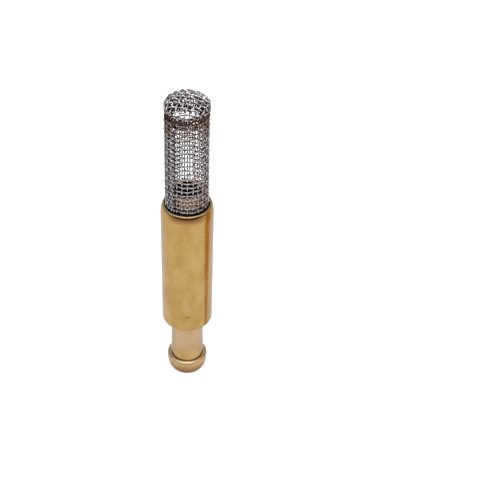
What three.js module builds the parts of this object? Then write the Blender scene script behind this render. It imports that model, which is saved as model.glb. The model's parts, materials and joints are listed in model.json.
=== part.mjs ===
// Suction nozzle with check valve and woven strainer for the hose of an oil burner's supply line.
// Millimetres. +Z runs along the axis from the hose nipple to the strainer.
// The origin is the centre of the nipple's end face, on which the nozzle stands.

import * as THREE from 'three';

// ---- driving dimensions -------------------------------------------------------------------

// body: hose nipple, neck and barrel, turned from one bar
const BARREL_R = 6;
const NECK_R = 3.8; // under the shoulder
const NECK_FOOT_R = 3.95; // at the bead
const BEAD_R = 4.9;
const END_FACE_R = 3.4;
const BEAD_WIDEST_Z = 3.7;
const BEAD_TOP_Z = 4.8;
const SHOULDER_Z = 17.2;
const SHOULDER_EDGE = 0.35;
const RIM_Z = 52;
const RIM_ROUND = 2.3; // height of the rim's rounding
const MOUTH_R = 5.08;
const MOUTH_EDGE = 0.12;
const OUTLET_R = 2.6;
const CHAMBER_R = 4.2;
const CHAMBER_FLOOR_Z = 24;
const CHAMBER_TOP_Z = 40; // step that the insert and the seat ring are pressed against

// valve
const BALL_R = 3.5;
const SEAT_R = 2.75;
const SEAT_EDGE = 0.4; // chamfer of the seat ring's mouth
const SEAT_THICK = 1.1;
const SEAT_OUTER_R = 4.45;
const WIRE_R = 0.3;
const SPRING_R = 3; // mean radius of a turn
const ACTIVE_TURNS = 5;
const CLOSED_PITCH = 0.65;

// insert between the chamber and the strainer
const INSERT_R = 4.1;
const INSERT_BORE_R = 2.95;
const INSERT_TOP_Z = 55.3;
const INSERT_EDGE = 0.18;
const FLANGE_R = 5;
const FLANGE_TOP_Z = 44.1;
const GROOVE_R = 4.05;
const GROOVE_LOW_Z = 41.9;
const GROOVE_HIGH_Z = 43.3;

// strainer: rolled sleeve with a lapped seam, pressed cap, braze between them
const SLEEVE_OUTER_R = 4.85;
const SLEEVE_INNER_R = 4.35;
const LAP_OUTER_R = 5.02;
const LAP_INNER_R = 4.15;
const LAP_START = 190; // degrees about +Z from +X
const LAP_END = 240;
const SLEEVE_TOP_Z = 76;
const LIP_R = 5;
const LIP_Z = 77.4; // height of the cap's widest ring
const LIP_UNDER_R = 4.6;
const DOME_HEIGHT = 2.1;
const CAP_WALL = 0.48;
const SKIRT_R = 4.08;
const SKIRT_FOOT_Z = 73.6;
const BRAZE_THICK = 0.3;

const PLAY = 0.05; // between pieces that touch
const ROUND = 48; // sides of a full turn

// ---- derived ------------------------------------------------------------------------------

const seatFootZ = CHAMBER_TOP_Z + PLAY;
const seatContactZ = seatFootZ + SEAT_EDGE;
const ballZ = seatContactZ - Math.sqrt(BALL_R ** 2 - SEAT_R ** 2) - PLAY;
const springFootZ = CHAMBER_FLOOR_Z + PLAY + WIRE_R;
const springTopZ = ballZ - Math.sqrt((BALL_R + WIRE_R + PLAY) ** 2 - SPRING_R ** 2);
const brazeFootZ = SLEEVE_TOP_Z + PLAY;
const lipFootZ = brazeFootZ + BRAZE_THICK + PLAY;

// ---- materials ----------------------------------------------------------------------------

const brass = new THREE.MeshStandardMaterial({ color: 0xc49f63, metalness: 1, roughness: 0.32 });
const insertBrass = new THREE.MeshStandardMaterial({ color: 0xa8794f, metalness: 1, roughness: 0.45 });
const stainlessWire = new THREE.MeshStandardMaterial({ color: 0xb4b2b4, metalness: 1, roughness: 0.35 });
const ballSteel = new THREE.MeshStandardMaterial({ color: 0xc9ccd0, metalness: 1, roughness: 0.12 });
const springSteel = new THREE.MeshStandardMaterial({ color: 0x9c9ea2, metalness: 1, roughness: 0.3 });
const copperBraze = new THREE.MeshStandardMaterial({ color: 0xa0563a, metalness: 1, roughness: 0.5 });
const nitrileRubber = new THREE.MeshStandardMaterial({ color: 0x1b1b1c, metalness: 0, roughness: 0.7 });

// ---- helpers ------------------------------------------------------------------------------

// Quarter of an ellipse from `start` to `end`, each [radius, height]. It leaves `start` square to
// the axis when `flatStart` is true, and parallel to the axis when it is false.
function quarterEllipse(start, end, flatStart, steps = 6) {
  const points = [];
  for (let i = 0; i <= steps; i += 1) {
    const angle = (Math.PI / 2) * (i / steps);
    const slow = 1 - Math.cos(angle);
    const fast = Math.sin(angle);
    const radial = flatStart ? fast : slow;
    const axial = flatStart ? slow : fast;
    points.push([
      start[0] + (end[0] - start[0]) * radial,
      start[1] + (end[1] - start[1]) * axial,
    ]);
  }
  return points;
}

// A solid of revolution about Z. The profile runs up its outside and down its inside.
// It starts and ends on the axis, or it is closed here.
function turned(name, profile, material, sides = ROUND) {
  const onAxis = profile[0][0] === 0 && profile[profile.length - 1][0] === 0;
  const outline = onAxis ? profile : [...profile, profile[0]];
  const geometry = new THREE.LatheGeometry(outline.map(([r, z]) => new THREE.Vector2(r, z)), sides);
  geometry.rotateX(Math.PI / 2);
  return named(name, geometry, material);
}

function named(name, geometry, material) {
  const mesh = new THREE.Mesh(geometry, material);
  mesh.name = name;
  return mesh;
}

// ---- body ---------------------------------------------------------------------------------

function body() {
  const mouthTop = [MOUTH_R + MOUTH_EDGE, RIM_Z];
  return turned('body', [
    [OUTLET_R, 0],
    ...quarterEllipse([END_FACE_R, 0], [BEAD_R, BEAD_WIDEST_Z], true),
    ...quarterEllipse([BEAD_R, BEAD_WIDEST_Z], [NECK_FOOT_R, BEAD_TOP_Z], false, 5).slice(1),
    [NECK_R, SHOULDER_Z],
    [BARREL_R - SHOULDER_EDGE, SHOULDER_Z],
    [BARREL_R, SHOULDER_Z + SHOULDER_EDGE],
    ...quarterEllipse([BARREL_R, RIM_Z - RIM_ROUND], mouthTop, false),
    [MOUTH_R, RIM_Z - MOUTH_EDGE],
    [MOUTH_R, CHAMBER_TOP_Z],
    [CHAMBER_R, CHAMBER_TOP_Z],
    [CHAMBER_R, CHAMBER_FLOOR_Z],
    [OUTLET_R, CHAMBER_FLOOR_Z],
  ], brass);
}

// ---- valve --------------------------------------------------------------------------------

function seatInsert() {
  const recessZ = seatFootZ + SEAT_THICK + PLAY;
  return turned('seat_insert', [
    [SEAT_OUTER_R + PLAY, seatFootZ],
    [FLANGE_R, seatFootZ],
    [FLANGE_R, GROOVE_LOW_Z],
    [GROOVE_R, GROOVE_LOW_Z],
    [GROOVE_R, GROOVE_HIGH_Z],
    [FLANGE_R, GROOVE_HIGH_Z],
    [FLANGE_R, FLANGE_TOP_Z],
    [INSERT_R, FLANGE_TOP_Z],
    [INSERT_R, INSERT_TOP_Z - INSERT_EDGE],
    [INSERT_R - INSERT_EDGE, INSERT_TOP_Z],
    [INSERT_BORE_R + INSERT_EDGE, INSERT_TOP_Z],
    [INSERT_BORE_R, INSERT_TOP_Z - INSERT_EDGE],
    [INSERT_BORE_R, recessZ],
    [SEAT_OUTER_R + PLAY, recessZ],
  ], insertBrass);
}

function seatRing() {
  const topZ = seatFootZ + SEAT_THICK;
  return turned('seat_ring', [
    [SEAT_R + SEAT_EDGE, seatFootZ],
    [SEAT_OUTER_R, seatFootZ],
    [SEAT_OUTER_R, topZ],
    [SEAT_R, topZ],
    [SEAT_R, seatContactZ],
  ], nitrileRubber);
}

function insertSeal() {
  const innerR = GROOVE_R + 0.03;
  const outerR = MOUTH_R - PLAY;
  const sectionR = (outerR - innerR) / 2;
  const geometry = new THREE.TorusGeometry((innerR + outerR) / 2, sectionR, 8, ROUND);
  geometry.translate(0, 0, (GROOVE_LOW_Z + GROOVE_HIGH_Z) / 2);
  return named('insert_seal', geometry, nitrileRubber);
}

function checkBall() {
  const geometry = new THREE.SphereGeometry(BALL_R, 32, 20);
  geometry.rotateX(Math.PI / 2);
  geometry.translate(0, 0, ballZ);
  return named('check_ball', geometry, ballSteel);
}

// Centreline of the spring: one closed turn, the active turns, and one closed turn.
class SpringPath extends THREE.Curve {
  getPoint(t, target = new THREE.Vector3()) {
    const turn = t * (ACTIVE_TURNS + 2);
    const activePitch = (springTopZ - springFootZ - 2 * CLOSED_PITCH) / ACTIVE_TURNS;
    const closedTurns = Math.min(turn, 1) + Math.max(turn - ACTIVE_TURNS - 1, 0);
    const activeTurns = turn - closedTurns;
    const angle = turn * 2 * Math.PI;
    return target.set(
      SPRING_R * Math.cos(angle),
      SPRING_R * Math.sin(angle),
      springFootZ + closedTurns * CLOSED_PITCH + activeTurns * activePitch,
    );
  }
}

function valveSpring() {
  const wireSides = 6;
  const section = new THREE.Shape();
  for (let i = 0; i < wireSides; i += 1) {
    const angle = (i / wireSides) * 2 * Math.PI;
    const corner = [WIRE_R * Math.cos(angle), WIRE_R * Math.sin(angle)];
    if (i === 0) section.moveTo(...corner);
    else section.lineTo(...corner);
  }
  section.closePath();
  const stepsPerTurn = 20;
  const geometry = new THREE.ExtrudeGeometry(section, {
    steps: stepsPerTurn * (ACTIVE_TURNS + 2),
    extrudePath: new SpringPath(),
  });
  return named('valve_spring', geometry, springSteel);
}

// ---- strainer -----------------------------------------------------------------------------

// Circle of radius `plainR`, or `lapR` along the lapped seam, as points of a closed outline.
function sleeveOutline(plainR, lapR) {
  const points = [];
  for (let i = 0; i < ROUND; i += 1) {
    const degrees = (i / ROUND) * 360;
    const inLap = degrees >= LAP_START && degrees <= LAP_END;
    const radius = inLap ? lapR : plainR;
    const angle = THREE.MathUtils.degToRad(degrees);
    points.push(new THREE.Vector2(radius * Math.cos(angle), radius * Math.sin(angle)));
  }
  return points;
}

function strainerSleeve() {
  const footZ = FLANGE_TOP_Z + 2 * PLAY;
  const section = new THREE.Shape(sleeveOutline(SLEEVE_OUTER_R, LAP_OUTER_R));
  section.holes.push(new THREE.Path(sleeveOutline(SLEEVE_INNER_R, LAP_INNER_R)));
  const geometry = new THREE.ExtrudeGeometry(section, {
    depth: SLEEVE_TOP_Z - footZ,
    bevelEnabled: false,
  });
  geometry.translate(0, 0, footZ);
  return named('strainer_sleeve', geometry, stainlessWire);
}

function strainerCap() {
  const innerR = LIP_R - CAP_WALL;
  const skirtInnerR = SKIRT_R - CAP_WALL;
  const innerCrown = [0, LIP_Z + DOME_HEIGHT - CAP_WALL];
  return turned('strainer_cap', [
    ...quarterEllipse(innerCrown, [innerR, LIP_Z], true),
    [skirtInnerR, lipFootZ + CAP_WALL / 2],
    [skirtInnerR, SKIRT_FOOT_Z],
    [SKIRT_R, SKIRT_FOOT_Z],
    [SKIRT_R, lipFootZ],
    ...quarterEllipse([LIP_UNDER_R, lipFootZ], [LIP_R, LIP_Z], true, 4),
    ...quarterEllipse([LIP_R, LIP_Z], [0, LIP_Z + DOME_HEIGHT], false, 8).slice(1, -1),
    [0, LIP_Z + DOME_HEIGHT],
  ], stainlessWire);
}

function capBraze() {
  const topZ = brazeFootZ + BRAZE_THICK;
  return turned('cap_braze', [
    [LAP_INNER_R, brazeFootZ],
    [LIP_R - PLAY, brazeFootZ],
    [LIP_R - PLAY, topZ],
    [LAP_INNER_R, topZ],
  ], copperBraze);
}

// ---- assembly -----------------------------------------------------------------------------

const nozzle = new THREE.Group();
nozzle.name = 'suction_nozzle';
nozzle.add(
  body(),
  seatInsert(),
  seatRing(),
  insertSeal(),
  checkBall(),
  valveSpring(),
  strainerSleeve(),
  strainerCap(),
  capBraze(),
);

export default nozzle;
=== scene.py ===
"""Oil suction nozzle with check valve and woven strainer: its surfaces, finishes and studio."""

import json

import bpy
import numpy as np
from bpy.props import FloatProperty, FloatVectorProperty, IntProperty, PointerProperty
from bpy.types import Operator, Panel, PropertyGroup
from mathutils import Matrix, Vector


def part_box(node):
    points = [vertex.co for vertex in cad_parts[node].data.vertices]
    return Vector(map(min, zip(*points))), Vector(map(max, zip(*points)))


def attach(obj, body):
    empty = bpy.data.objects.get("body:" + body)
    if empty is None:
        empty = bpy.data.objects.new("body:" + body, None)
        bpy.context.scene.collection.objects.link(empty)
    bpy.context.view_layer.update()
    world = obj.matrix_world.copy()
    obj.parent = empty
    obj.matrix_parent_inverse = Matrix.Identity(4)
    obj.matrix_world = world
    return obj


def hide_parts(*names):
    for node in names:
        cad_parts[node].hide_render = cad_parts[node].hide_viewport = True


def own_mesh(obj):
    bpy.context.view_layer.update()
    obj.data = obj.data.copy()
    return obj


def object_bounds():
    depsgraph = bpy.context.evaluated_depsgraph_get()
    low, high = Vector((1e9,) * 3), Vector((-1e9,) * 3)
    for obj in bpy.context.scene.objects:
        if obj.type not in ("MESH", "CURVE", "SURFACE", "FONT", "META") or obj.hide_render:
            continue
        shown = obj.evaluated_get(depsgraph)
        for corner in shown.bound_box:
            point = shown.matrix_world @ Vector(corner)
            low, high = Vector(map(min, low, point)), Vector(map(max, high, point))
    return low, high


bl_info = {
    "name": "Oil Suction Nozzle",
    "version": (1, 0, 0),
    "blender": (4, 5, 0),
    "location": "View3D > Sidebar > Nozzle",
    "description": "Builds the finished surfaces of an oil suction nozzle round its frame",
    "category": "Add Mesh",
}

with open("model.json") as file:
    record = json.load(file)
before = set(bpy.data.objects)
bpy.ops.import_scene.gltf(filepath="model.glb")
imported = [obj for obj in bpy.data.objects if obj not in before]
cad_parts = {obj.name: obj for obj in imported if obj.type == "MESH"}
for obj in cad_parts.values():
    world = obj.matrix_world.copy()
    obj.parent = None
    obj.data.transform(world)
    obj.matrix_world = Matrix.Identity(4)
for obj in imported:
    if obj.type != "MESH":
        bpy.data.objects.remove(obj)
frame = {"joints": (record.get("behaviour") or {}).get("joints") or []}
FRAME_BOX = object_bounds()
BODY_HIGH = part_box("body")[1]
INSERT_LOW, INSERT_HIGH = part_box("seat_insert")
SEAT_LOW, SEAT_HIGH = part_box("seat_ring")
SEAL_LOW, SEAL_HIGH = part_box("insert_seal")
BALL_LOW, BALL_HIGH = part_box("check_ball")
SPRING_LOW, SPRING_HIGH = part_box("valve_spring")
SLEEVE_LOW, SLEEVE_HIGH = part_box("strainer_sleeve")
CAP_LOW, CAP_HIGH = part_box("strainer_cap")
BRAZE_LOW, BRAZE_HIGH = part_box("cap_braze")
MM = 0.001
TURN = 2 * np.pi
SHARP_ANGLE = np.radians(35)
EDGE_SUPPORT = 0.04 * MM  # distance of the points that hold a rounded edge
BEAD_FULLNESS, RIM_FULLNESS = 1.8, 1.85  # exponents of the two rounded tops


# ---- sizes and colours that a user would change ------------------------------------------------


def length(name, millimetres, description):
    """A length property whose default is given in millimetres."""
    return FloatProperty(
        name=name, description=description, default=millimetres * MM,
        min=0, precision=5, unit="LENGTH",
    )


def colour(name, values, description):
    """A linear colour property."""
    return FloatVectorProperty(
        name=name, description=description, default=values,
        size=3, min=0, max=1, subtype="COLOR",
    )


class BodySizes(PropertyGroup):
    end_radius: length("End face radius", 3.4, "Outer radius of the nipple's flat end")
    bead_radius: length("Bead radius", 4.9, "Widest radius of the hose bead")
    bead_widest: length("Bead's widest height", 3.8, "Height at which the bead is widest")
    bead_top: length("Bead top", 4.64, "Height at which the bead meets the neck")
    neck_foot_radius: length("Neck radius at the bead", 3.95, "Radius of the neck behind the bead")
    neck_radius: length("Neck radius at the shoulder", 3.8, "Radius of the neck under the shoulder")
    shoulder: length("Shoulder height", 17.2, "Height of the shoulder that stops the hose")
    shoulder_edge: length("Shoulder edge", 0.35, "Rounding of the barrel's lower edge")
    rim_round: length("Rim rounding", 2.7, "Height over which the rim is rolled in")
    mouth_radius: length("Mouth radius", 5.08, "Radius of the barrel's mouth")
    mouth_edge: length("Mouth edge", 0.12, "Rounding of the mouth's inner edge")
    crest_drop: length("Crest drop", 0.08, "How far the roll's crest lies below the CAD rim")
    bead_crest: length("Bead crest radius", 4.02, "Radius of the highest ring of the bead")
    outlet_radius: length("Outlet radius", 2.6, "Radius of the bore through the nipple")
    chamber_radius: length("Chamber radius", 4.2, "Radius of the valve chamber")
    chamber_floor: length("Chamber floor", 24, "Height of the floor that carries the spring")
    chamber_top: length("Chamber top", 40, "Height of the step that carries the insert")


class ValveSizes(PropertyGroup):
    insert_radius: length("Insert radius", 4.1, "Outer radius of the insert's tube")
    insert_bore: length("Insert bore", 2.95, "Radius of the insert's bore")
    insert_edge: length("Insert edge", 0.18, "Rounding of the insert's edges")
    flange_top: length("Flange top", 44.1, "Height of the top of the insert's flange")
    groove_radius: length("Groove radius", 4.05, "Radius of the seal groove's floor")
    groove_low: length("Groove foot", 41.9, "Height of the seal groove's lower wall")
    groove_high: length("Groove top", 43.3, "Height of the seal groove's upper wall")
    seat_radius: length("Seat radius", 2.75, "Radius on which the ball shuts")
    seat_edge: length("Seat edge", 0.4, "Chamfer of the seat ring's mouth")
    wire_radius: length("Spring wire radius", 0.3, "Radius of the spring's wire")
    closed_pitch: length("Closed pitch", 0.65, "Rise of each closed end turn")
    active_turns: IntProperty(name="Active turns", description="Turns that work", default=5, min=2)


class ClothSizes(PropertyGroup):
    wire_radius: length("Wire radius", 0.152, "Radius of the woven wire")
    radius_foot: length("Foot radius", 4.6, "Radius of the cloth's middle surface at its foot")
    radius_top: length("Top radius", 4.5, "Radius of the cloth's middle surface at the cap")
    pitch: length("Pitch", 1.13, "Distance from wire to wire along the sleeve")
    upright_step: FloatProperty(
        name="Upright step", description="Angle from one upright wire to the next",
        default=np.radians(14.36), subtype="ANGLE",
    )
    upright_front: FloatProperty(
        name="Front upright", description="Angle of the upright wire at the front",
        default=np.radians(-89.5), subtype="ANGLE",
    )
    inner_uprights: IntProperty(
        name="Inner uprights", default=5,
        description="Upright wires from the front one to the inner cut edge",
    )
    outer_uprights: IntProperty(
        name="Outer uprights", default=22,
        description="Upright wires from the front one to the outer cut edge",
    )
    cap_turn: FloatProperty(
        name="Cap turn", description="Angle of the cap's weave about the axis",
        default=np.radians(-19.4), subtype="ANGLE",
    )


class FinishColours(PropertyGroup):
    brass: colour("Brass", (0.385, 0.262, 0.096), "Turned brass of the body")
    brass_pale: colour("Pale brass", (0.375, 0.272, 0.17), "Brass where it is less tarnished")
    brass_deep: colour("Deep brass", (0.325, 0.205, 0.064), "Brass where it is more tarnished")
    insert: colour("Insert brass", (0.74, 0.50, 0.36), "Darkened brass of the insert")
    steel: colour("Stainless wire", (0.42, 0.393, 0.404), "Woven wire on its rubbed crowns")
    # Painted highlight and rubbing: paler wire on the top of the cap.
    rub_and_highlight: colour("Rubbed wire", (0.70, 0.66, 0.68), "Woven wire on the cap's crown")
    # Painted shade: the near black of the wires' inward sides, the valleys and the cloth's inside.
    wire_shade: colour("Grimy wire", (0.068, 0.058, 0.064), "Woven wire in the valleys and inside")
    straw: colour("Straw tint", (0.30, 0.18, 0.13), "Wire tinted by moderate heat")
    # Heat tint, and painted shade where it darkens the insert's side wall and bore, the cap's
    # inside and the wires' inward sides.
    scorch_and_shade: colour("Brown tint", (0.085, 0.045, 0.035), "Wire tinted by the brazing flame")
    braze: colour("Braze", (0.36, 0.115, 0.07), "Copper braze")
    # Painted reflection and painted shade: this red-brown paints the dark band on the rim's front
    # and, darker, the shade at the bead's foot; darker still it colours the scuff.
    flush: colour("Flushed brass", (0.25, 0.105, 0.042), "Brass reddened below the rim")
    # Rubbed brass, and a painted highlight: its pale tint stands in for the paler highlights on the
    # rim and bead crests.
    polish_and_highlight: colour("Polished brass", (0.60, 0.455, 0.29), "Brass rubbed bright on edges")
    rubber: colour("Rubber", (0.018, 0.018, 0.019), "Nitrile rubber")
    spring: colour("Spring wire", (0.40, 0.41, 0.43), "Drawn spring steel")
    ball: colour("Ball steel", (0.66, 0.67, 0.69), "Polished steel")
    floor: colour("Floor", (0.87, 0.87, 0.87), "Plain studio floor")


class StudioSettings(PropertyGroup):
    elevation: FloatProperty(
        name="Camera elevation", description="Camera's height above the horizon",
        default=np.radians(41), subtype="ANGLE",
    )
    distance: length("Camera distance", 238.6, "From the camera to the point it is aimed at")
    aim_height: length("Aim height", 40.8, "Height on the axis at which the camera is aimed")
    lens: FloatProperty(name="Lens", description="Focal length in millimetres", default=78.75)
    shift: FloatProperty(name="Shift", description="Sideways shift of the frame", default=0.11)
    world: FloatProperty(
        name="World light", description="Strength of the plain surroundings", default=0.2
    )
    backdrop: FloatProperty(
        name="Backdrop", description="Paleness beyond the floor's edge", default=0.92
    )


# ---- surfaces ------------------------------------------------------------------------------------


def make_piece(name, points, *faces):
    """Smooth-shaded object of points (n, 3) and faces, arrays (m, corners) of point numbers."""
    mesh = bpy.data.meshes.new(name)
    corners = np.concatenate([part.ravel() for part in faces]).astype(np.int32)
    counts = np.concatenate([np.full(len(part), part.shape[1]) for part in faces])
    starts = (np.cumsum(counts) - counts).astype(np.int32)
    mesh.vertices.add(len(points))
    mesh.vertices.foreach_set("co", np.asarray(points, np.float32).ravel())
    mesh.loops.add(len(corners))
    mesh.loops.foreach_set("vertex_index", corners)
    mesh.polygons.add(len(counts))
    mesh.polygons.foreach_set("loop_start", starts)
    mesh.update(calc_edges=True)
    mesh.validate()
    mesh.shade_smooth()
    piece = bpy.data.objects.new(name, mesh)
    bpy.context.scene.collection.objects.link(piece)
    return piece


def around_axis(radius, angle, height):
    """Points (radius cos angle, radius sin angle, height) of three arrays that broadcast."""
    return np.stack(np.broadcast_arrays(radius * np.cos(angle), radius * np.sin(angle), height), -1)


def grid_faces(rows, columns, wrap_rows=False):
    """Quads of a grid of points numbered row by row, whose outside is columns crossed with rows.

    The columns always close on themselves, and the rows do if wrap_rows is true.
    """
    row = np.arange(rows if wrap_rows else rows - 1)[:, None]
    column = np.arange(columns)[None, :]
    next_row, next_column = (row + 1) % rows, (column + 1) % columns
    quads = [row * columns + column, row * columns + next_column,
             next_row * columns + next_column, next_row * columns + column]
    return np.stack([np.broadcast_to(q, (row.size, column.size)) for q in quads], -1).reshape(-1, 4)


def revolved(name, profile, sides):
    """Solid of revolution: point (r, z) of the profile at angle a is (r cos a, r sin a, z).

    The profile runs up the outside and down the inside. It closes on itself, or it starts and ends
    on the axis, where each end becomes one point with a fan of triangles.
    """
    profile = np.asarray(profile, float)
    on_axis = profile[0, 0] == 0 and profile[-1, 0] == 0
    rings = profile[1:-1] if on_axis else profile
    angle = np.linspace(0, TURN, sides, endpoint=False)
    points = around_axis(rings[:, :1], angle, rings[:, 1:]).reshape(-1, 3)
    faces = [grid_faces(len(rings), sides, wrap_rows=not on_axis)]
    if on_axis:
        around = np.arange(sides)
        beyond = (around + 1) % sides
        last_ring = (len(rings) - 1) * sides
        first, last = len(points), len(points) + 1
        points = np.vstack([points, [0, 0, profile[0, 1]], [0, 0, profile[-1, 1]]])
        faces.append(np.stack([np.full(sides, first), beyond, around], -1))
        faces.append(np.stack([np.full(sides, last), last_ring + around, last_ring + beyond], -1))
    piece = make_piece(name, points, *faces)
    piece.data.set_sharp_from_angle(angle=SHARP_ANGLE)
    return piece


def quarter_ellipse(start, end, square_first, steps=14, fullness=2):
    """Points of a quarter ellipse from start to end, each (r, z).

    It leaves start square to the axis if square_first is true, and parallel to the axis if not.
    A fullness under 2 cuts the corner towards a cone: it is a superellipse's exponent.
    """
    start, end = np.array(start), np.array(end)
    angle = np.linspace(0, np.pi / 2, steps + 1)
    slow, fast = 1 - np.cos(angle) ** (2 / fullness), np.sin(angle) ** (2 / fullness)
    shares = np.stack([fast, slow] if square_first else [slow, fast], -1)
    return start + (end - start) * shares


def rounded(corners, steps=5):
    """Outline through corners (r, z, rounding): an arc tangent to both sides replaces each corner.

    The arc is drawn as a quadratic curve from one tangent point over the corner to the other, which
    is within 3% of a circle for square corners.
    """
    corners = np.asarray(corners, float)
    places = corners[:, :2]
    before = np.roll(places, 1, 0) - places
    after = np.roll(places, -1, 0) - places
    reach = corners[:, 2:]
    first = places + before / np.linalg.norm(before, axis=1, keepdims=True) * reach
    last = places + after / np.linalg.norm(after, axis=1, keepdims=True) * reach
    share = np.linspace(0, 1, steps + 1)[None, :, None]
    curve = (
        (1 - share) ** 2 * first[:, None] + 2 * share * (1 - share) * places[:, None]
        + share**2 * last[:, None]
    )
    flat = curve.reshape(-1, 2)
    moved = np.linalg.norm(flat - np.roll(flat, 1, 0), axis=1) > 1e-9
    return flat[moved]


def supported(profile):
    """The closed profile with two more points close to the ends of each long straight run.

    They keep the smooth shading of a rounded edge from spreading over the flat beside it.
    """
    margin = EDGE_SUPPORT
    profile = np.asarray(profile, float)
    following = np.roll(profile, -1, 0)
    run = following - profile
    size = np.linalg.norm(run, axis=1)
    long = size > 8 * margin
    near = profile + run / np.maximum(size, margin)[:, None] * margin
    far = following - run / np.maximum(size, margin)[:, None] * margin
    stacked = np.stack([profile, near, far], 1).reshape(-1, 2)
    keep = np.stack([np.ones(len(profile), bool), long, long], 1).ravel()
    return stacked[keep]


def unit(vectors):
    """Vectors of length one."""
    return vectors / np.linalg.norm(vectors, axis=-1, keepdims=True)


def wire_points(paths, outward, radius, sides):
    """Points of round wires: at each path point, a circle of that radius square to the path.

    paths and outward are (wires, steps, 3), and outward is any direction that isn't along the wire.
    """
    along = unit(np.gradient(paths, axis=1))
    side = unit(np.cross(along, outward))
    up = np.cross(side, along)
    angle = np.linspace(0, TURN, sides, endpoint=False)[:, None]
    return (
        paths[:, :, None]
        + radius * (np.cos(angle) * up[:, :, None] + np.sin(angle) * side[:, :, None])
    )


def wire_faces(wires, steps, sides, first=0):
    """Quads along the wires and one flat end face at each end of each wire."""
    grid = grid_faces(steps, sides)
    offsets = first + np.arange(wires)[:, None, None] * steps * sides
    quads = (grid[None] + offsets).reshape(-1, 4)
    ring = np.arange(sides)
    starts = ring[::-1][None] + offsets[:, :, 0]
    ends = (steps - 1) * sides + ring[None] + offsets[:, :, 0]
    return quads, np.vstack([starts, ends])


def woven(name, groups, radius, sides=8):
    """One object of several groups of wires, each (paths, outward, crimp).

    It keeps a tone for each wire, and how proud each point stands: 0 at the cloth's innermost
    surface and 1 on its outermost crowns. crimp is the wire's distance off the middle surface.
    """
    points, quads, ends, tones, proud = [], [], [], [], []
    random = np.random.default_rng(7)
    first = 0
    for paths, outward, crimp in groups:
        wires, steps = paths.shape[:2]
        made = wire_points(paths, outward, radius, sides)
        height = ((made - paths[:, :, None]) * outward[:, :, None]).sum(-1) + crimp[:, :, None]
        proud.append(0.5 + height.ravel() / (4.6 * radius))
        made = made.reshape(-1, 3)
        side_faces, end_faces = wire_faces(wires, steps, sides, first)
        points.append(made)
        quads.append(side_faces)
        ends.append(end_faces)
        tones.append(np.repeat(random.random(wires), steps * sides))
        first += len(made)
    piece = make_piece(name, np.vstack(points), np.vstack(quads), np.vstack(ends))
    for key, values in (("tone", tones), ("proud", proud)):
        layer = piece.data.attributes.new(key, "FLOAT", "POINT")
        layer.data.foreach_set("value", np.concatenate(values).astype(np.float32))
    return piece


def settle(piece, body, node, finish):
    """Gives a finished piece its body and its material, and hides the CAD part of its node."""
    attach(piece, body)
    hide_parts(node)
    piece.data.materials.clear()
    piece.data.materials.append(finish)


# ---- shader building -----------------------------------------------------------------------------


def feed(tree, socket, value):
    """Sets a socket to a number or colour, or links a term or another socket to it."""
    if isinstance(value, Term):
        value = value.socket
    if isinstance(value, bpy.types.NodeSocket):
        tree.links.new(value, socket)
    elif socket.type == "RGBA":
        socket.default_value = (*value[:3], 1)
    else:
        socket.default_value = value


def add_node(tree, kind, settings=None, values=None):
    """Adds a node to a tree, sets its settings, then sets or links its sockets."""
    made = tree.nodes.new(kind)
    for key, value in (settings or {}).items():
        setattr(made, key, value)
    for key, value in (values or {}).items():
        feed(tree, made.inputs[key], value)
    return made


class Term:
    """A number that varies over a surface. Arithmetic on it adds Math nodes."""

    def __init__(self, finish, socket):
        self.finish, self.socket = finish, socket

    def math(self, operation, first, second=0.0):
        node = self.finish.node("ShaderNodeMath", {"operation": operation}, {0: first, 1: second})
        return Term(self.finish, node.outputs[0])

    def __add__(self, other):
        return self.math("ADD", self, other)

    def __sub__(self, other):
        return self.math("SUBTRACT", self, other)

    def __mul__(self, other):
        return self.math("MULTIPLY", self, other)

    def __rsub__(self, other):
        return self.math("SUBTRACT", other, self)

    __radd__ = __add__
    __rmul__ = __mul__

    def power(self, other):
        return self.math("POWER", self, other)

    def size(self):
        return self.math("ABSOLUTE", self)

    def most(self, other):
        return self.math("MAXIMUM", self, other)

    def step(self, low, high):
        """0 below low and 1 above high, smooth between. low may be above high."""
        node = self.finish.node(
            "ShaderNodeMapRange", {"interpolation_type": "SMOOTHSTEP"},
            {"Value": self, "From Min": low, "From Max": high},
        )
        return Term(self.finish, node.outputs["Result"])


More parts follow.
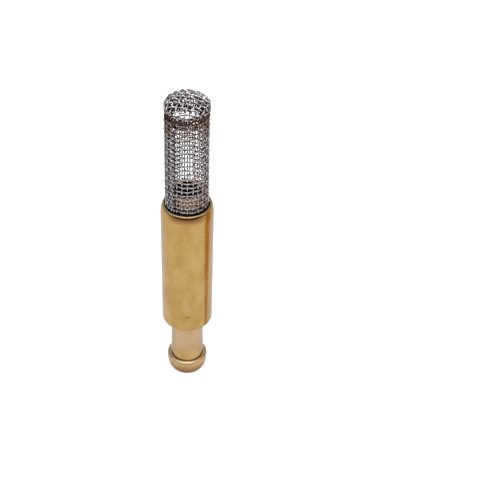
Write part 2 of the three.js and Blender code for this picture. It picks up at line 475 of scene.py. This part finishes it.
class Finish:
    """A metal or rubber finish on a Principled shader, built from Object coordinates."""

    def __init__(self, name, metallic, roughness):
        self.material = bpy.data.materials.new(name)
        self.material.use_nodes = True
        self.tree = self.material.node_tree
        self.tree.nodes.clear()
        self.shader = self.node(
            "ShaderNodeBsdfPrincipled", {}, {"Metallic": metallic, "Roughness": roughness}
        )
        output = self.node("ShaderNodeOutputMaterial")
        self.tree.links.new(self.shader.outputs[0], output.inputs[0])
        self.place = self.node("ShaderNodeTexCoord").outputs["Object"]
        parts = self.node("ShaderNodeSeparateXYZ", {}, {0: self.place})
        self.x, self.y, self.z = (Term(self, parts.outputs[i]) for i in range(3))

    def node(self, kind, settings=None, values=None):
        """Adds a node to this finish."""
        return add_node(self.tree, kind, settings, values)

    def noise(self, millimetres, detail=3, stretch=(1, 1, 1)):
        """Noise around 0.5 with blotches about that many millimetres across, stretched by axis."""
        scale = [1 / (millimetres * MM * s) for s in stretch]
        place = self.node("ShaderNodeMapping", {}, {"Vector": self.place, "Scale": scale})
        made = self.node(
            "ShaderNodeTexNoise", {},
            {"Vector": place.outputs[0], "Scale": 1, "Detail": detail, "Roughness": 0.55},
        )
        return Term(self, made.outputs["Fac"])

    def mix(self, share, first, second):
        """Colour from first to second by a share from 0 to 1."""
        made = self.node(
            "ShaderNodeMix", {"data_type": "RGBA", "clamp_factor": True}, {"Factor": share}
        )
        feed(self.tree, made.inputs[6], first)
        feed(self.tree, made.inputs[7], second)
        return made.outputs[2]

    def attribute(self, name):
        """A number kept at each point of the mesh."""
        return Term(self, self.node("ShaderNodeAttribute", {"attribute_name": name}).outputs["Fac"])

    def radius(self):
        """Distance from the axis."""
        return (self.x * self.x + self.y * self.y).power(0.5)

    def bump(self, height, millimetres):
        """Relief of that depth, from a height between 0 and 1."""
        made = self.node(
            "ShaderNodeBump", {}, {"Strength": 1, "Distance": millimetres * MM, "Height": height}
        )
        feed(self.tree, self.shader.inputs["Normal"], made.outputs[0])

    def use(self, **values):
        """Feeds the shader's sockets: base_color, roughness, metallic."""
        for key, value in values.items():
            feed(self.tree, self.shader.inputs[key.replace("_", " ").title()], value)
        return self.material


# ---- finishes ------------------------------------------------------------------------------------

# Where the marks on the finishes lie. A pair says where a mark starts and where it is full.
BLOOM_HEIGHT = (40 * MM, 20 * MM)
PALE_NECK_HEIGHT = (5 * MM, 12 * MM)
RIM_RUB_HIGHLIGHT_HEIGHT = (BODY_HIGH.z - 0.42 * MM, BODY_HIGH.z - 0.24 * MM)
BEAD_RUB_HIGHLIGHT_HEIGHT = (3.75 * MM, 4.05 * MM)
BEAD_RUB_HIGHLIGHT_RADIUS = 4.45 * MM
BEAD_RUB_HIGHLIGHT_REACH = (0.55 * MM, 0.3 * MM)
# Painted reflection: where the dark band on the rim's front lies.
RIM_REFLECTION_FOOT = (49.8 * MM, 50.9 * MM)
RIM_REFLECTION_TOP = (51.84 * MM, 51.7 * MM)
RIM_REFLECTION_FRONT = (-3.2 * MM, -5.4 * MM)
# Painted shade at the bead's foot.
FOOT_SHADE_HEIGHT = (4.1 * MM, 0.8 * MM)
SCUFF_X, SCUFF_Z = 0.1 * MM, 21.9 * MM
SCUFF_SLOPE = 0.06
SCUFF_THICKNESS = (0.13 * MM, 0.06 * MM)
SCUFF_LENGTH = (0.75 * MM, 0.5 * MM)
SCUFF_SIDE = (0, -1 * MM)
CROWN_HEIGHT = (77.3 * MM, 78.5 * MM)
HEAT_HEIGHT = (CAP_LOW.z - 1.6 * MM, CAP_LOW.z + 1.8 * MM)
COOL_HEIGHT = (BRAZE_HIGH.z + 0.6 * MM, BRAZE_HIGH.z + 1.9 * MM)
MOUTH_SHADE_HEIGHT = (52.5 * MM, 51.9 * MM)
STRIP_ANGLE = np.radians(-126)
STRIP_WIDTH = (0.75 * MM, 0.55 * MM)
STRIP_SIDE = (1 * MM, 2 * MM)
STRIP_DEPTH = (4.62 * MM, 4.5 * MM)
STRIP_TOP = (76 * MM, 73 * MM)
BRAZE_LUMP_RADIUS = (4.78 * MM, 4.9 * MM)


def finish_colours():
    return bpy.context.scene.nozzle_finishes


def body_brass():
    """Satin turned brass: mottling, fine turning rings, pale neck, rubbed edges that also carry a
    painted highlight tint, a painted dark reflection on the rim's front, painted shade at the
    bead's foot and one scuff.
    """
    tones, sizes = finish_colours(), bpy.context.scene.nozzle_body
    finish = Finish("turned_brass", 1.0, 0.3)
    finish.shader.inputs["Specular Tint"].default_value = (0.76, 0.75, 0.84, 1)
    clouds = finish.noise(3.2, detail=4, stretch=(1, 1, 1.8))
    specks = finish.noise(0.55, detail=2)
    rings = finish.noise(0.09, detail=2, stretch=(60, 60, 1))
    tarnish = (clouds * 1.2 + specks * 0.4 - 0.48).step(0.12, 0.56)
    colour_now = finish.mix(tarnish, tones.brass_deep, tones.brass)
    bloom = (clouds * 0.7 + specks * 0.3).step(0.5, 0.72) * finish.z.step(*BLOOM_HEIGHT)
    neck = finish.z.step(sizes.shoulder, sizes.shoulder - 0.4 * MM)
    neck = neck * finish.z.step(*PALE_NECK_HEIGHT) * (0.2 + clouds * 1.2)
    colour_now = finish.mix(neck.most(bloom * 0.6), colour_now, tones.brass_pale)
    pits = finish.noise(0.4, detail=1).step(0.68, 0.76)
    colour_now = finish.mix(pits * 0.55, colour_now, [0.75 * c for c in tones.brass_deep])
    # Rubbed edges and painted highlight: the rim's crest and the bead's crest take a paler brass,
    # which is wear and also paints the paler tint of the highlights there.
    rim_edge = finish.z.step(*RIM_RUB_HIGHLIGHT_HEIGHT)
    near_crest = (finish.radius() - BEAD_RUB_HIGHLIGHT_RADIUS).size().step(*BEAD_RUB_HIGHLIGHT_REACH)
    bead_edge = finish.z.step(*BEAD_RUB_HIGHLIGHT_HEIGHT) * near_crest
    rub_and_highlight = (rim_edge * 0.5).most(bead_edge) * (0.65 + specks * 0.6)
    colour_now = finish.mix(rub_and_highlight, colour_now, tones.polish_and_highlight)
    # Painted reflection: a dark red-brown band on the rim's rounding below its crest, on the front
    # side only, stands in for the reflection of dark surroundings in front.
    flush = finish.z.step(*RIM_REFLECTION_FOOT) * finish.z.step(*RIM_REFLECTION_TOP) * finish.y.step(*RIM_REFLECTION_FRONT)
    colour_now = finish.mix(flush * (0.5 + clouds * 0.7), colour_now, tones.flush)
    # Painted shade: the bead darkens towards the floor, standing in for the shaded floor near the
    # contact that it reflects.
    foot = finish.z.step(*FOOT_SHADE_HEIGHT)
    colour_now = finish.mix(foot * 0.95, colour_now, [0.66 * c for c in tones.flush])
    scuff = (finish.z - SCUFF_Z - finish.x * SCUFF_SLOPE).size().step(*SCUFF_THICKNESS)
    scuff = scuff * (finish.x - SCUFF_X).size().step(*SCUFF_LENGTH) * finish.y.step(*SCUFF_SIDE)
    colour_now = finish.mix(scuff * 0.9, colour_now, [0.3 * c for c in tones.flush])
    finish.bump(rings * 0.5 + specks * 0.35 + clouds * 0.6 - scuff * 2, 0.006)
    worn = foot * 0.15 + rim_edge * 0.2 + bead_edge * 0.2
    return finish.use(
        base_color=colour_now, roughness=0.13 + clouds * 0.12 + specks * 0.06 + worn
    )


def insert_brass():
    """Darkened, reddish brass: turning rings, stains, and painted shade that darkens the side wall
    and turns the bore near black.
    """
    tones, sizes = finish_colours(), bpy.context.scene.nozzle_valve
    finish = Finish("stained_and_shaded_brass", 1.0, 0.4)
    stains = finish.noise(1.1, detail=4)
    rings = finish.noise(0.07, detail=1, stretch=(50, 50, 1))
    colour_now = finish.mix(stains.step(0.3, 0.65), [0.7 * c for c in tones.insert], tones.insert)
    # Painted shade: the insert's side wall inside the strainer is darkened, and its bore, a deep
    # hole, turns near black.
    wall = finish.radius().step(sizes.insert_radius - 0.16 * MM, sizes.insert_radius - 0.02 * MM)
    colour_now = finish.mix(wall * 0.4, colour_now, tones.scorch_and_shade)
    bore = finish.radius().step(sizes.insert_bore + 0.14 * MM, sizes.insert_bore + 0.03 * MM)
    colour_now = finish.mix(bore, colour_now, [0.25 * c for c in tones.scorch_and_shade])
    finish.bump(rings * 0.6 + stains * 0.4, 0.006)
    return finish.use(base_color=colour_now, roughness=0.36 + stains * 0.2)


def cloth_steel():
    """Woven stainless wire: steel crowns, painted shade on inward sides and in valleys, a painted
    highlight with rubbing on the cap's top, heat tint near the braze weighted towards shaded sides,
    painted shade where the cloth enters the barrel, and a near-black strip of the inner layer along
    the seam's cut edge."""
    tones = finish_colours()
    finish = Finish("woven_stainless", 1.0, 0.3)
    tone = finish.attribute("tone")
    proud = finish.attribute("proud")
    stains = finish.noise(1.4, detail=3)
    specks = finish.noise(0.3, detail=2)
    # Painted shade: each wire is steel where it stands proud on the cloth's outside and near black
    # on its inward side and in the valleys, where the weave shades itself.
    bright = (proud + specks * 0.25 + tone * 0.1 - 0.175).step(0.30, 0.72)
    lit_and_shaded_steel = finish.mix(bright, tones.wire_shade, tones.steel)
    # Painted highlight and rubbing: on the cap's top the wires' proud crowns take a paler steel.
    crown = finish.z.step(*CROWN_HEIGHT)
    lit_and_shaded_steel = finish.mix(crown * bright * 0.75, lit_and_shaded_steel, tones.rub_and_highlight)
    heat = (finish.z + stains * 3.2 * MM).step(*HEAT_HEIGHT)
    cooler = (finish.z + stains * 1.5 * MM).step(*COOL_HEIGHT)
    heat = heat * (1 - cooler)
    # Heat tint near the braze, and painted shade: the tint is weighted towards the wires' shaded
    # inward sides, and its deep brown on the cap's skirt darkens the cap's inside.
    colour_now = finish.mix(heat * (1.5 - bright), lit_and_shaded_steel, tones.straw)
    colour_now = finish.mix(heat * 1.3 * (1.25 - bright), colour_now, tones.scorch_and_shade)
    # Painted shade: the cloth turns near black where it goes down into the barrel's mouth under the
    # rim.
    foot = finish.z.step(*MOUTH_SHADE_HEIGHT)
    colour_now = finish.mix(foot * 0.85, colour_now, [0.4 * c for c in tones.wire_shade])
    # A near-black strip on the inner layer, under the outer layer's cut edge.
    cosine, sine = np.cos(STRIP_ANGLE), np.sin(STRIP_ANGLE)
    strip = (finish.x * -sine + finish.y * cosine).size().step(*STRIP_WIDTH)
    strip = strip * (finish.x * cosine + finish.y * sine).step(*STRIP_SIDE)
    strip = strip * finish.radius().step(*STRIP_DEPTH) * finish.z.step(*STRIP_TOP)
    colour_now = finish.mix(strip, colour_now, [0.3 * c for c in tones.scorch_and_shade])
    rust = (stains * 0.6 + specks * 0.5).step(0.64, 0.74)
    colour_now = finish.mix(rust * 0.5, colour_now, tones.straw)
    finish.bump(specks, 0.004)
    return finish.use(base_color=colour_now, roughness=0.34 + specks * 0.16 - bright * 0.18)


def copper_braze():
    """Copper braze, oxidised brown between its lumps and grainy."""
    tones = finish_colours()
    finish = Finish("oxidised_braze", 1.0, 0.45)
    patches = finish.noise(0.7, detail=4)
    grain = finish.noise(0.12, detail=2)
    lumps = finish.radius().step(*BRAZE_LUMP_RADIUS)
    share = (patches.step(0.5, 0.66) * 0.45).most(lumps * 0.8)
    colour_now = finish.mix(share, tones.scorch_and_shade, tones.braze)
    finish.bump(patches * 0.5 + grain * 0.5, 0.03)
    return finish.use(base_color=colour_now, roughness=0.35 + grain * 0.3)


def seal_rubber():
    """Moulded nitrile rubber with a faint bloom."""
    tones = finish_colours()
    finish = Finish("moulded_rubber", 0.0, 0.6)
    bloom = finish.noise(0.6, detail=4)
    colour_now = finish.mix(bloom.step(0.4, 0.75), tones.rubber, [3 * c for c in tones.rubber])
    finish.bump(finish.noise(0.1, detail=3), 0.01)
    return finish.use(base_color=colour_now, roughness=0.5 + bloom * 0.25)


def spring_steel():
    """Drawn spring wire with lengthwise die marks and a thin oil film."""
    tones = finish_colours()
    finish = Finish("drawn_steel", 1.0, 0.3)
    film = finish.noise(0.9, detail=3)
    marks = finish.noise(0.05, detail=1, stretch=(8, 8, 1))
    colour_now = finish.mix(film.step(0.3, 0.7), [0.8 * c for c in tones.spring], tones.spring)
    finish.bump(marks, 0.004)
    return finish.use(base_color=colour_now, roughness=0.2 + film * 0.15)


def ball_steel():
    """Lapped ball steel with hair lines."""
    tones = finish_colours()
    finish = Finish("lapped_steel", 1.0, 0.1)
    hair = finish.noise(0.08, detail=2, stretch=(1, 1, 14))
    film = finish.noise(1.6, detail=3)
    colour_now = finish.mix(film.step(0.3, 0.7), [0.9 * c for c in tones.ball], tones.ball)
    finish.bump(hair, 0.001)
    return finish.use(base_color=colour_now, roughness=0.06 + film * 0.08)


def plain_floor():
    """Plain pale floor, lit a little from below as a light table is, so that shadows stay soft."""
    tones = finish_colours()
    finish = Finish("plain_floor", 0.0, 0.75)
    grain = finish.noise(40, detail=2)
    colour_now = finish.mix(grain, [0.99 * c for c in tones.floor], tones.floor)
    finish.shader.inputs["Emission Strength"].default_value = 0.68
    return finish.use(base_color=colour_now, emission_color=(1, 1, 1))


def flag_cloth():
    """Brass coloured flag that glows evenly, so that only its reflection is seen."""
    finish = Finish("flag_cloth", 0.0, 0.9)
    weave = finish.noise(4.0, detail=2)
    finish.shader.inputs["Emission Strength"].default_value = 1.0
    glow = finish.mix(weave, (0.92, 0.42, 0.02), (1.0, 0.48, 0.05))
    return finish.use(base_color=(0, 0, 0), emission_color=glow)


# ---- operators: one for each piece or group of like pieces ---------------------------------------


class NOZZLE_OT_body(Operator):
    """Turns the brass body: hose nipple, neck, barrel and rolled rim"""

    bl_idname = "nozzle.body"
    bl_label = "Body"

    def execute(self, context):
        s = context.scene.nozzle_body
        barrel, edge = BODY_HIGH.x, s.mouth_edge
        crest = BODY_HIGH.z - s.crest_drop
        bead_side = (s.bead_radius, s.bead_widest)
        bead_crest = (s.bead_crest, s.bead_top)
        bead_back = (s.neck_foot_radius, s.bead_top - 0.1 * MM)
        lip = (s.mouth_radius + edge, crest)
        outline = np.vstack([
            quarter_ellipse((s.end_radius, 0), bead_side, True, 20),
            quarter_ellipse(bead_side, bead_crest, False, 20, BEAD_FULLNESS)[1:],
            quarter_ellipse(bead_crest, bead_back, True, 6)[1:],
            [(s.neck_radius, s.shoulder)],
            quarter_ellipse(
                (barrel - s.shoulder_edge, s.shoulder), (barrel, s.shoulder + s.shoulder_edge),
                True, 8,
            ),
            quarter_ellipse((barrel, BODY_HIGH.z - s.rim_round), lip, False, 28, RIM_FULLNESS),
            quarter_ellipse(lip, (s.mouth_radius, crest - edge), True, 6)[1:],
            [
                (s.mouth_radius, s.chamber_top), (s.chamber_radius, s.chamber_top),
                (s.chamber_radius, s.chamber_floor), (s.outlet_radius, s.chamber_floor),
                (s.outlet_radius, edge), (s.outlet_radius + edge, 0),
            ],
        ])
        piece = revolved("brass_body", supported(outline), sides=224)
        settle(piece, "housing", "body", body_brass())
        return {"FINISHED"}


class NOZZLE_OT_insert(Operator):
    """Turns the insert that carries the seat, and makes its two rubber rings"""

    bl_idname = "nozzle.insert"
    bl_label = "Insert and rings"

    def execute(self, context):
        s = context.scene.nozzle_valve
        flange, play = INSERT_HIGH.x, 0.05 * MM
        foot, top = INSERT_LOW.z, INSERT_HIGH.z
        recess, recess_top = SEAT_HIGH.x + play, SEAT_HIGH.z + play
        small = 0.08 * MM
        outline = rounded([
            (recess, foot, small), (flange, foot, small), (flange, s.groove_low, small),
            (s.groove_radius, s.groove_low, small), (s.groove_radius, s.groove_high, small),
            (flange, s.groove_high, small), (flange, s.flange_top, small),
            (s.insert_radius, s.flange_top, small), (s.insert_radius, top, s.insert_edge),
            (s.insert_bore, top, s.insert_edge), (s.insert_bore, recess_top, small),
            (recess, recess_top, small),
        ])
        insert = revolved("brass_insert", supported(outline), sides=160)
        settle(insert, "housing", "seat_insert", insert_brass())

        rubber = seal_rubber()
        outline = rounded([
            (s.seat_radius + s.seat_edge, SEAT_LOW.z, small), (SEAT_HIGH.x, SEAT_LOW.z, small),
            (SEAT_HIGH.x, SEAT_HIGH.z, small), (s.seat_radius, SEAT_HIGH.z, small),
            (s.seat_radius, SEAT_LOW.z + s.seat_edge, small),
        ])
        seat = revolved("rubber_seat", supported(outline), sides=128)
        settle(seat, "housing", "seat_ring", rubber)

        section = (SEAL_HIGH.z - SEAL_LOW.z) / 2
        angle = np.linspace(0, TURN, 28, endpoint=False)
        flash = 1 + 0.03 * np.exp(-((np.abs(np.cos(angle)) - 1) / 0.02) ** 2)
        ring = np.stack([
            SEAL_HIGH.x - section + section * flash * 0.98 * np.cos(angle),
            (SEAL_LOW.z + SEAL_HIGH.z) / 2 + section * np.sin(angle),
        ], -1)
        seal = revolved("rubber_seal", ring, sides=128)
        settle(seal, "housing", "insert_seal", rubber)
        return {"FINISHED"}


class NOZZLE_OT_ball(Operator):
    """Makes the ball of the check valve"""

    bl_idname = "nozzle.ball"
    bl_label = "Check ball"

    def execute(self, context):
        radius = (BALL_HIGH.z - BALL_LOW.z) / 2
        middle = (BALL_HIGH.z + BALL_LOW.z) / 2
        angle = np.linspace(-np.pi / 2, np.pi / 2, 65)
        outline = np.stack([radius * np.cos(angle), middle + radius * np.sin(angle)], -1)
        outline[[0, -1], 0] = 0
        ball = revolved("steel_ball", outline, sides=96)
        settle(ball, "ball", "check_ball", ball_steel())
        return {"FINISHED"}


class NOZZLE_OT_spring(Operator):
    """Winds the valve spring; the ball's lift is read, but the spring keeps its length"""

    bl_idname = "nozzle.spring"
    bl_label = "Valve spring"

    def execute(self, context):
        s = context.scene.nozzle_valve
        radius = SPRING_HIGH.x - s.wire_radius
        foot, top = SPRING_LOW.z + s.wire_radius, SPRING_HIGH.z - s.wire_radius
        turns = np.linspace(0, s.active_turns + 2, 48 * (s.active_turns + 2) + 1)
        closed = np.minimum(turns, 1) + np.maximum(turns - s.active_turns - 1, 0)
        pitch = (top - foot - 2 * s.closed_pitch) / s.active_turns
        rise = foot + closed * s.closed_pitch + (turns - closed) * pitch
        angle = turns * TURN
        path = around_axis(radius, angle, rise)[None]
        outward = around_axis(1, angle, 0)[None]
        spring = woven("wound_spring", [(path, outward, 0 * turns[None])], s.wire_radius, sides=16)
        settle(spring, "housing", "valve_spring", spring_steel())
        lift = next(j for j in frame["joints"] if j["name"] == "ball_lift")["range_m"][1]
        height = SPRING_HIGH.z - SPRING_LOW.z
        (height - lift) / height
        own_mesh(spring)
        return {"FINISHED"}


def smooth_step(values, low, high):
    """0 below low and 1 above high, with no corner between."""
    share = np.clip((values - low) / (high - low), 0, 1)
    return share * share * (3 - 2 * share)


class NOZZLE_OT_sleeve(Operator):
    """Weaves the strainer's sleeve: upright and round wires, with a lapped seam"""

    bl_idname = "nozzle.sleeve"
    bl_label = "Woven sleeve"

    def execute(self, context):
        s = context.scene.nozzle_cloth
        foot, top = SLEEVE_LOW.z + 0.4 * MM, SLEEVE_HIGH.z
        rim = BODY_HIGH.z

        def middle_radius(column, height):
            """Radius of the cloth's middle surface, which lies over itself along the seam.

            column counts upright wires from the front one. The cloth tapers towards the cap; its
            inner end is pressed in, and its outer end stands out, by less inside the barrel's rim.
            """
            taper = s.radius_foot + (s.radius_top - s.radius_foot) * (height - rim) / (top - rim)
            inner = 1 - smooth_step(column, 2 - s.inner_uprights, 4.5 - s.inner_uprights)
            outer = smooth_step(column, s.outer_uprights - 4.5, s.outer_uprights - 2)
            stand = 0.11 * MM + 0.12 * MM * smooth_step(height, rim, rim + 3 * MM)
            return np.minimum(taper, s.radius_foot) - inner * 0.15 * MM + outer * stand

        def place(column, height, crimp):
            """Points on the cloth and the outward direction. Crimp is the offset off its middle."""
            angle = s.upright_front + column * s.upright_step
            points = around_axis(middle_radius(column, height) + crimp, angle, height)
            return points, around_axis(1, angle, 0), crimp

        rows = int((top - foot) / s.pitch + 0.7)
        columns = np.arange(-s.inner_uprights, s.outer_uprights + 1)
        steps = 6
        round_crimp, upright_crimp = 0.6 * s.wire_radius, 1.4 * s.wire_radius
        sway = np.random.default_rng(3)

        rise = np.linspace(-0.3, rows - 0.7, rows * steps + 1)
        column, row = np.meshgrid(columns.astype(float), rise, indexing="ij")
        drift = sway.normal(0, 0.035, (len(columns), 1)) * np.sin(row * 0.23 + column)
        crimp = -upright_crimp * np.cos(np.pi * row) * (-1) ** column
        uprights = place(column + drift, foot + row * s.pitch, crimp)

        reach = np.linspace(columns[0] - 0.55, columns[-1] + 0.62, (len(columns) + 1) * steps)
        row, column = np.meshgrid(np.arange(rows).astype(float), reach, indexing="ij")
        crimp = round_crimp * np.cos(np.pi * column) * (-1) ** row
        fray = smooth_step(column, columns[-1] + 0.05, columns[-1] + 0.6)
        droop = sway.uniform(0.05, 0.3, (rows, 1)) * fray
        wander = 0.05 * np.sin(column * 0.9 + sway.uniform(0, TURN, (rows, 1)))
        rounds = place(column, foot + (row - droop + wander) * s.pitch, crimp * (1 - 0.7 * fray))

        sleeve = woven("woven_sleeve", [uprights, rounds], s.wire_radius)
        settle(sleeve, "housing", "strainer_sleeve", cloth_steel())
        return {"FINISHED"}


def cap_profile(cloth):
    """Middle surface of the cap, from the crown to the skirt's foot: distance, radius, height.

    A quarter ellipse from the crown to the lip, a quarter ellipse under the lip, then the skirt.
    """
    skin = 0.22 * MM
    lip_radius, crown = CAP_HIGH.x - skin, CAP_HIGH.z - skin
    lip = BRAZE_HIGH.z + 1.0 * MM
    skirt = BRAZE_LOW.z - 0.1 * MM
    skirt_radius = 3.8 * MM
    under_lip = (skirt_radius + 0.3 * MM, BRAZE_HIGH.z + 0.2 * MM)
    points = np.vstack([
        quarter_ellipse((0, crown), (lip_radius, lip), True, 60),
        quarter_ellipse((lip_radius, lip), under_lip, False, 16)[1:],
        quarter_ellipse(under_lip, (skirt_radius, skirt), True, 8)[1:],
        [(skirt_radius, CAP_LOW.z + cloth.wire_radius)],
    ])
    steps = np.linalg.norm(np.diff(points, axis=0), axis=1)
    return np.concatenate([[0], np.cumsum(steps)]), points[:, 0], points[:, 1]


class NOZZLE_OT_cap(Operator):
    """Weaves and presses the strainer's domed cap"""

    bl_idname = "nozzle.cap"
    bl_label = "Woven cap"

    def execute(self, context):
        s = context.scene.nozzle_cloth
        along, radii, heights = cap_profile(s)
        limit = along[-1]
        slope_radius, slope_height = np.gradient(radii, along), np.gradient(heights, along)
        steps = 6
        count = int(limit / s.pitch)
        offsets = np.arange(-count, count + 1) * s.pitch

        def place(across, forward, crimp):
            """Points on the cap of a flat cloth's (across, forward): each keeps its distance and
            direction from the crown. Crimp is the offset off the middle surface."""
            distance = np.maximum(np.hypot(across, forward), 1e-7)
            angle = np.arctan2(forward, across) + s.cap_turn
            radius, height = np.interp(distance, along, radii), np.interp(distance, along, heights)
            lean_radius = -np.interp(distance, along, slope_height)
            lean_height = np.interp(distance, along, slope_radius)
            outward = unit(around_axis(lean_radius, angle, lean_height))
            return around_axis(radius, angle, height) + outward * crimp[..., None], outward, crimp

        reach = np.sqrt(np.maximum(limit**2 - offsets**2, 0))
        share = np.linspace(-1, 1, 2 * count * steps + 1)
        fixed, moving = np.meshgrid(offsets, share, indexing="ij")
        moving = moving * reach[:, None]
        sign = (-1.0) ** np.round(fixed / s.pitch)
        crimp = s.wire_radius * np.cos(np.pi * moving / s.pitch) * sign
        groups = [place(fixed, moving, crimp), place(moving, fixed, -crimp)]
        cap = woven("woven_cap", groups, s.wire_radius)
        cloth = bpy.data.objects["woven_sleeve"].data.materials[0]
        settle(cap, "housing", "strainer_cap", cloth)
        return {"FINISHED"}


class NOZZLE_OT_braze(Operator):
    """Lays the lumpy braze under the cap's lip"""

    bl_idname = "nozzle.braze"
    bl_label = "Braze"

    def execute(self, context):
        middle = (BRAZE_LOW.z + BRAZE_HIGH.z) / 2
        # Each lump's place in degrees, size in millimetres and spread in degrees.
        lumps = [
            (-72, 0.2, 5), (-28, 0.16, 9), (-4, 0.2, 8),
            (181, 0.26, 7), (118, 0.2, 14), (62, 0.22, 10),
        ]
        angle = np.linspace(0, TURN, 360, endpoint=False)[:, None]
        section = np.linspace(0, TURN, 16, endpoint=False)[None]
        swell = np.zeros_like(angle)
        for degrees, size, spread in lumps:
            apart = (np.degrees(angle) - degrees + 180) % 360 - 180
            swell = swell + size * MM * np.exp(-((apart / spread) ** 2))
        ripple = np.sin(7 * angle + 1) + np.sin(17 * angle) + 0.6 * np.sin(31 * angle + section)
        ripple = 0.03 * MM * ripple
        thick = 0.13 * MM + 0.45 * swell + ripple
        ring = 4.62 * MM + 0.28 * swell
        radius = ring + thick * np.cos(section)
        height = middle + thick * 1.1 * np.sin(section) - 0.15 * swell
        points = around_axis(radius, angle, height).reshape(-1, 3)
        braze = make_piece("copper_braze", points, grid_faces(360, 16, wrap_rows=True)[:, ::-1])
        settle(braze, "housing", "cap_braze", copper_braze())
        return {"FINISHED"}


FLOOR_HALF, FLOOR_GAP = 1.5, 0.02 * MM
FLAG_OUTLINE = [(0, 1), (2.8, 1), (2.8, 18), (3.8, 19.5), (5.0, 30), (5.0, 51), (0, 51)]
FLAG_PLACE = (22, -2.3, 0)


def aimed(holder, place, target):
    """Puts a camera or light at place, turned towards target."""
    holder.location = place
    holder.rotation_mode = "QUATERNION"
    holder.rotation_quaternion = (Vector(target) - Vector(place)).to_track_quat("-Z", "Y")


def soft_light(name, place, width, depth, watts):
    """Area light of width by depth metres, aimed at the middle of the nozzle."""
    light = bpy.data.lights.new(name, "AREA")
    light.shape, light.size, light.size_y, light.energy = "RECTANGLE", width, depth, watts
    holder = bpy.data.objects.new(name, light)
    bpy.context.scene.collection.objects.link(holder)
    aimed(holder, place, (0, 0, FRAME_BOX[1].z / 2))


class NOZZLE_OT_studio(Operator):
    """Sets the floor, the soft lights, the flag and the camera"""

    bl_idname = "nozzle.studio"
    bl_label = "Studio"

    def execute(self, context):
        s = context.scene.nozzle_studio
        corners = np.array([[-1, -1, 0], [1, -1, 0], [1, 1, 0], [-1, 1, 0]]) * FLOOR_HALF
        floor = make_piece("studio_floor", corners - [0, 0, FLOOR_GAP], np.array([[0, 1, 2, 3]]))
        floor.data.materials.append(plain_floor())

        flag = revolved("studio_flag", np.array(FLAG_OUTLINE) * MM, sides=48)
        places = np.empty(len(flag.data.vertices) * 3, np.float32)
        flag.data.vertices.foreach_get("co", places)
        places = places.reshape(-1, 3) + np.array(FLAG_PLACE, np.float32) * MM
        flag.data.vertices.foreach_set("co", places.ravel())
        flag.data.materials.append(flag_cloth())
        flag.visible_camera = False
        flag.visible_shadow = False
        flag.visible_diffuse = False

        soft_light("top_light", (0, -0.155, 0.43), 0.46, 0.34, 1.35)
        soft_light("back_light", (0, 0.34, 0.42), 0.30, 0.16, 0.5)
        soft_light("left_light", (-0.38, -0.10, 0.26), 0.26, 0.26, 0.25)
        soft_light("right_light", (0.38, -0.10, 0.26), 0.26, 0.26, 0.25)

        world = bpy.data.worlds.new("plain_surroundings")
        world.use_nodes = True
        tree = world.node_tree
        tree.nodes.clear()
        lit, seen = (
            add_node(tree, "ShaderNodeBackground", {}, {"Color": (1, 1, 1), "Strength": strength})
            for strength in (s.world, s.backdrop)
        )
        camera_ray = add_node(tree, "ShaderNodeLightPath").outputs["Is Camera Ray"]
        both = {0: camera_ray, 1: lit.outputs[0], 2: seen.outputs[0]}
        chosen = add_node(tree, "ShaderNodeMixShader", {}, both)
        add_node(tree, "ShaderNodeOutputWorld", {}, {"Surface": chosen.outputs[0]})
        context.scene.world = world
        context.scene.view_settings.view_transform = "Standard"

        camera = bpy.data.cameras.new("camera")
        camera.lens, camera.sensor_width, camera.shift_x = s.lens, 36, s.shift
        camera.clip_start, camera.clip_end = 0.01, 10
        holder = bpy.data.objects.new("camera", camera)
        context.scene.collection.objects.link(holder)
        aim = Vector((0, 0, s.aim_height))
        back = Vector((0, -np.cos(s.elevation), np.sin(s.elevation)))
        aimed(holder, aim + back * s.distance, aim)
        context.scene.camera = holder
        return {"FINISHED"}


class NOZZLE_PT_panel(Panel):
    """Lists the steps in the 3D view's sidebar"""

    bl_idname = "NOZZLE_PT_panel"
    bl_label = "Oil suction nozzle"
    bl_space_type = "VIEW_3D"
    bl_region_type = "UI"
    bl_category = "Nozzle"

    def draw(self, context):
        for operator in OPERATORS:
            self.layout.operator(operator.bl_idname)


SETTINGS = {
    "nozzle_body": BodySizes,
    "nozzle_valve": ValveSizes,
    "nozzle_cloth": ClothSizes,
    "nozzle_finishes": FinishColours,
    "nozzle_studio": StudioSettings,
}
OPERATORS = (
    NOZZLE_OT_body, NOZZLE_OT_insert, NOZZLE_OT_ball, NOZZLE_OT_spring,
    NOZZLE_OT_sleeve, NOZZLE_OT_cap, NOZZLE_OT_braze, NOZZLE_OT_studio,
)


def register():
    for kind in (*SETTINGS.values(), *OPERATORS, NOZZLE_PT_panel):
        bpy.utils.register_class(kind)
    for name, kind in SETTINGS.items():
        setattr(bpy.types.Scene, name, PointerProperty(type=kind))


def unregister():
    for name in SETTINGS:
        delattr(bpy.types.Scene, name)
    for kind in reversed((*SETTINGS.values(), *OPERATORS, NOZZLE_PT_panel)):
        bpy.utils.unregister_class(kind)


def main():
    register()
    bpy.ops.nozzle.body()
    bpy.ops.nozzle.insert()
    bpy.ops.nozzle.ball()
    bpy.ops.nozzle.spring()
    bpy.ops.nozzle.sleeve()
    bpy.ops.nozzle.cap()
    bpy.ops.nozzle.braze()
    bpy.ops.nozzle.studio()


if __name__ == "__main__":
    main()
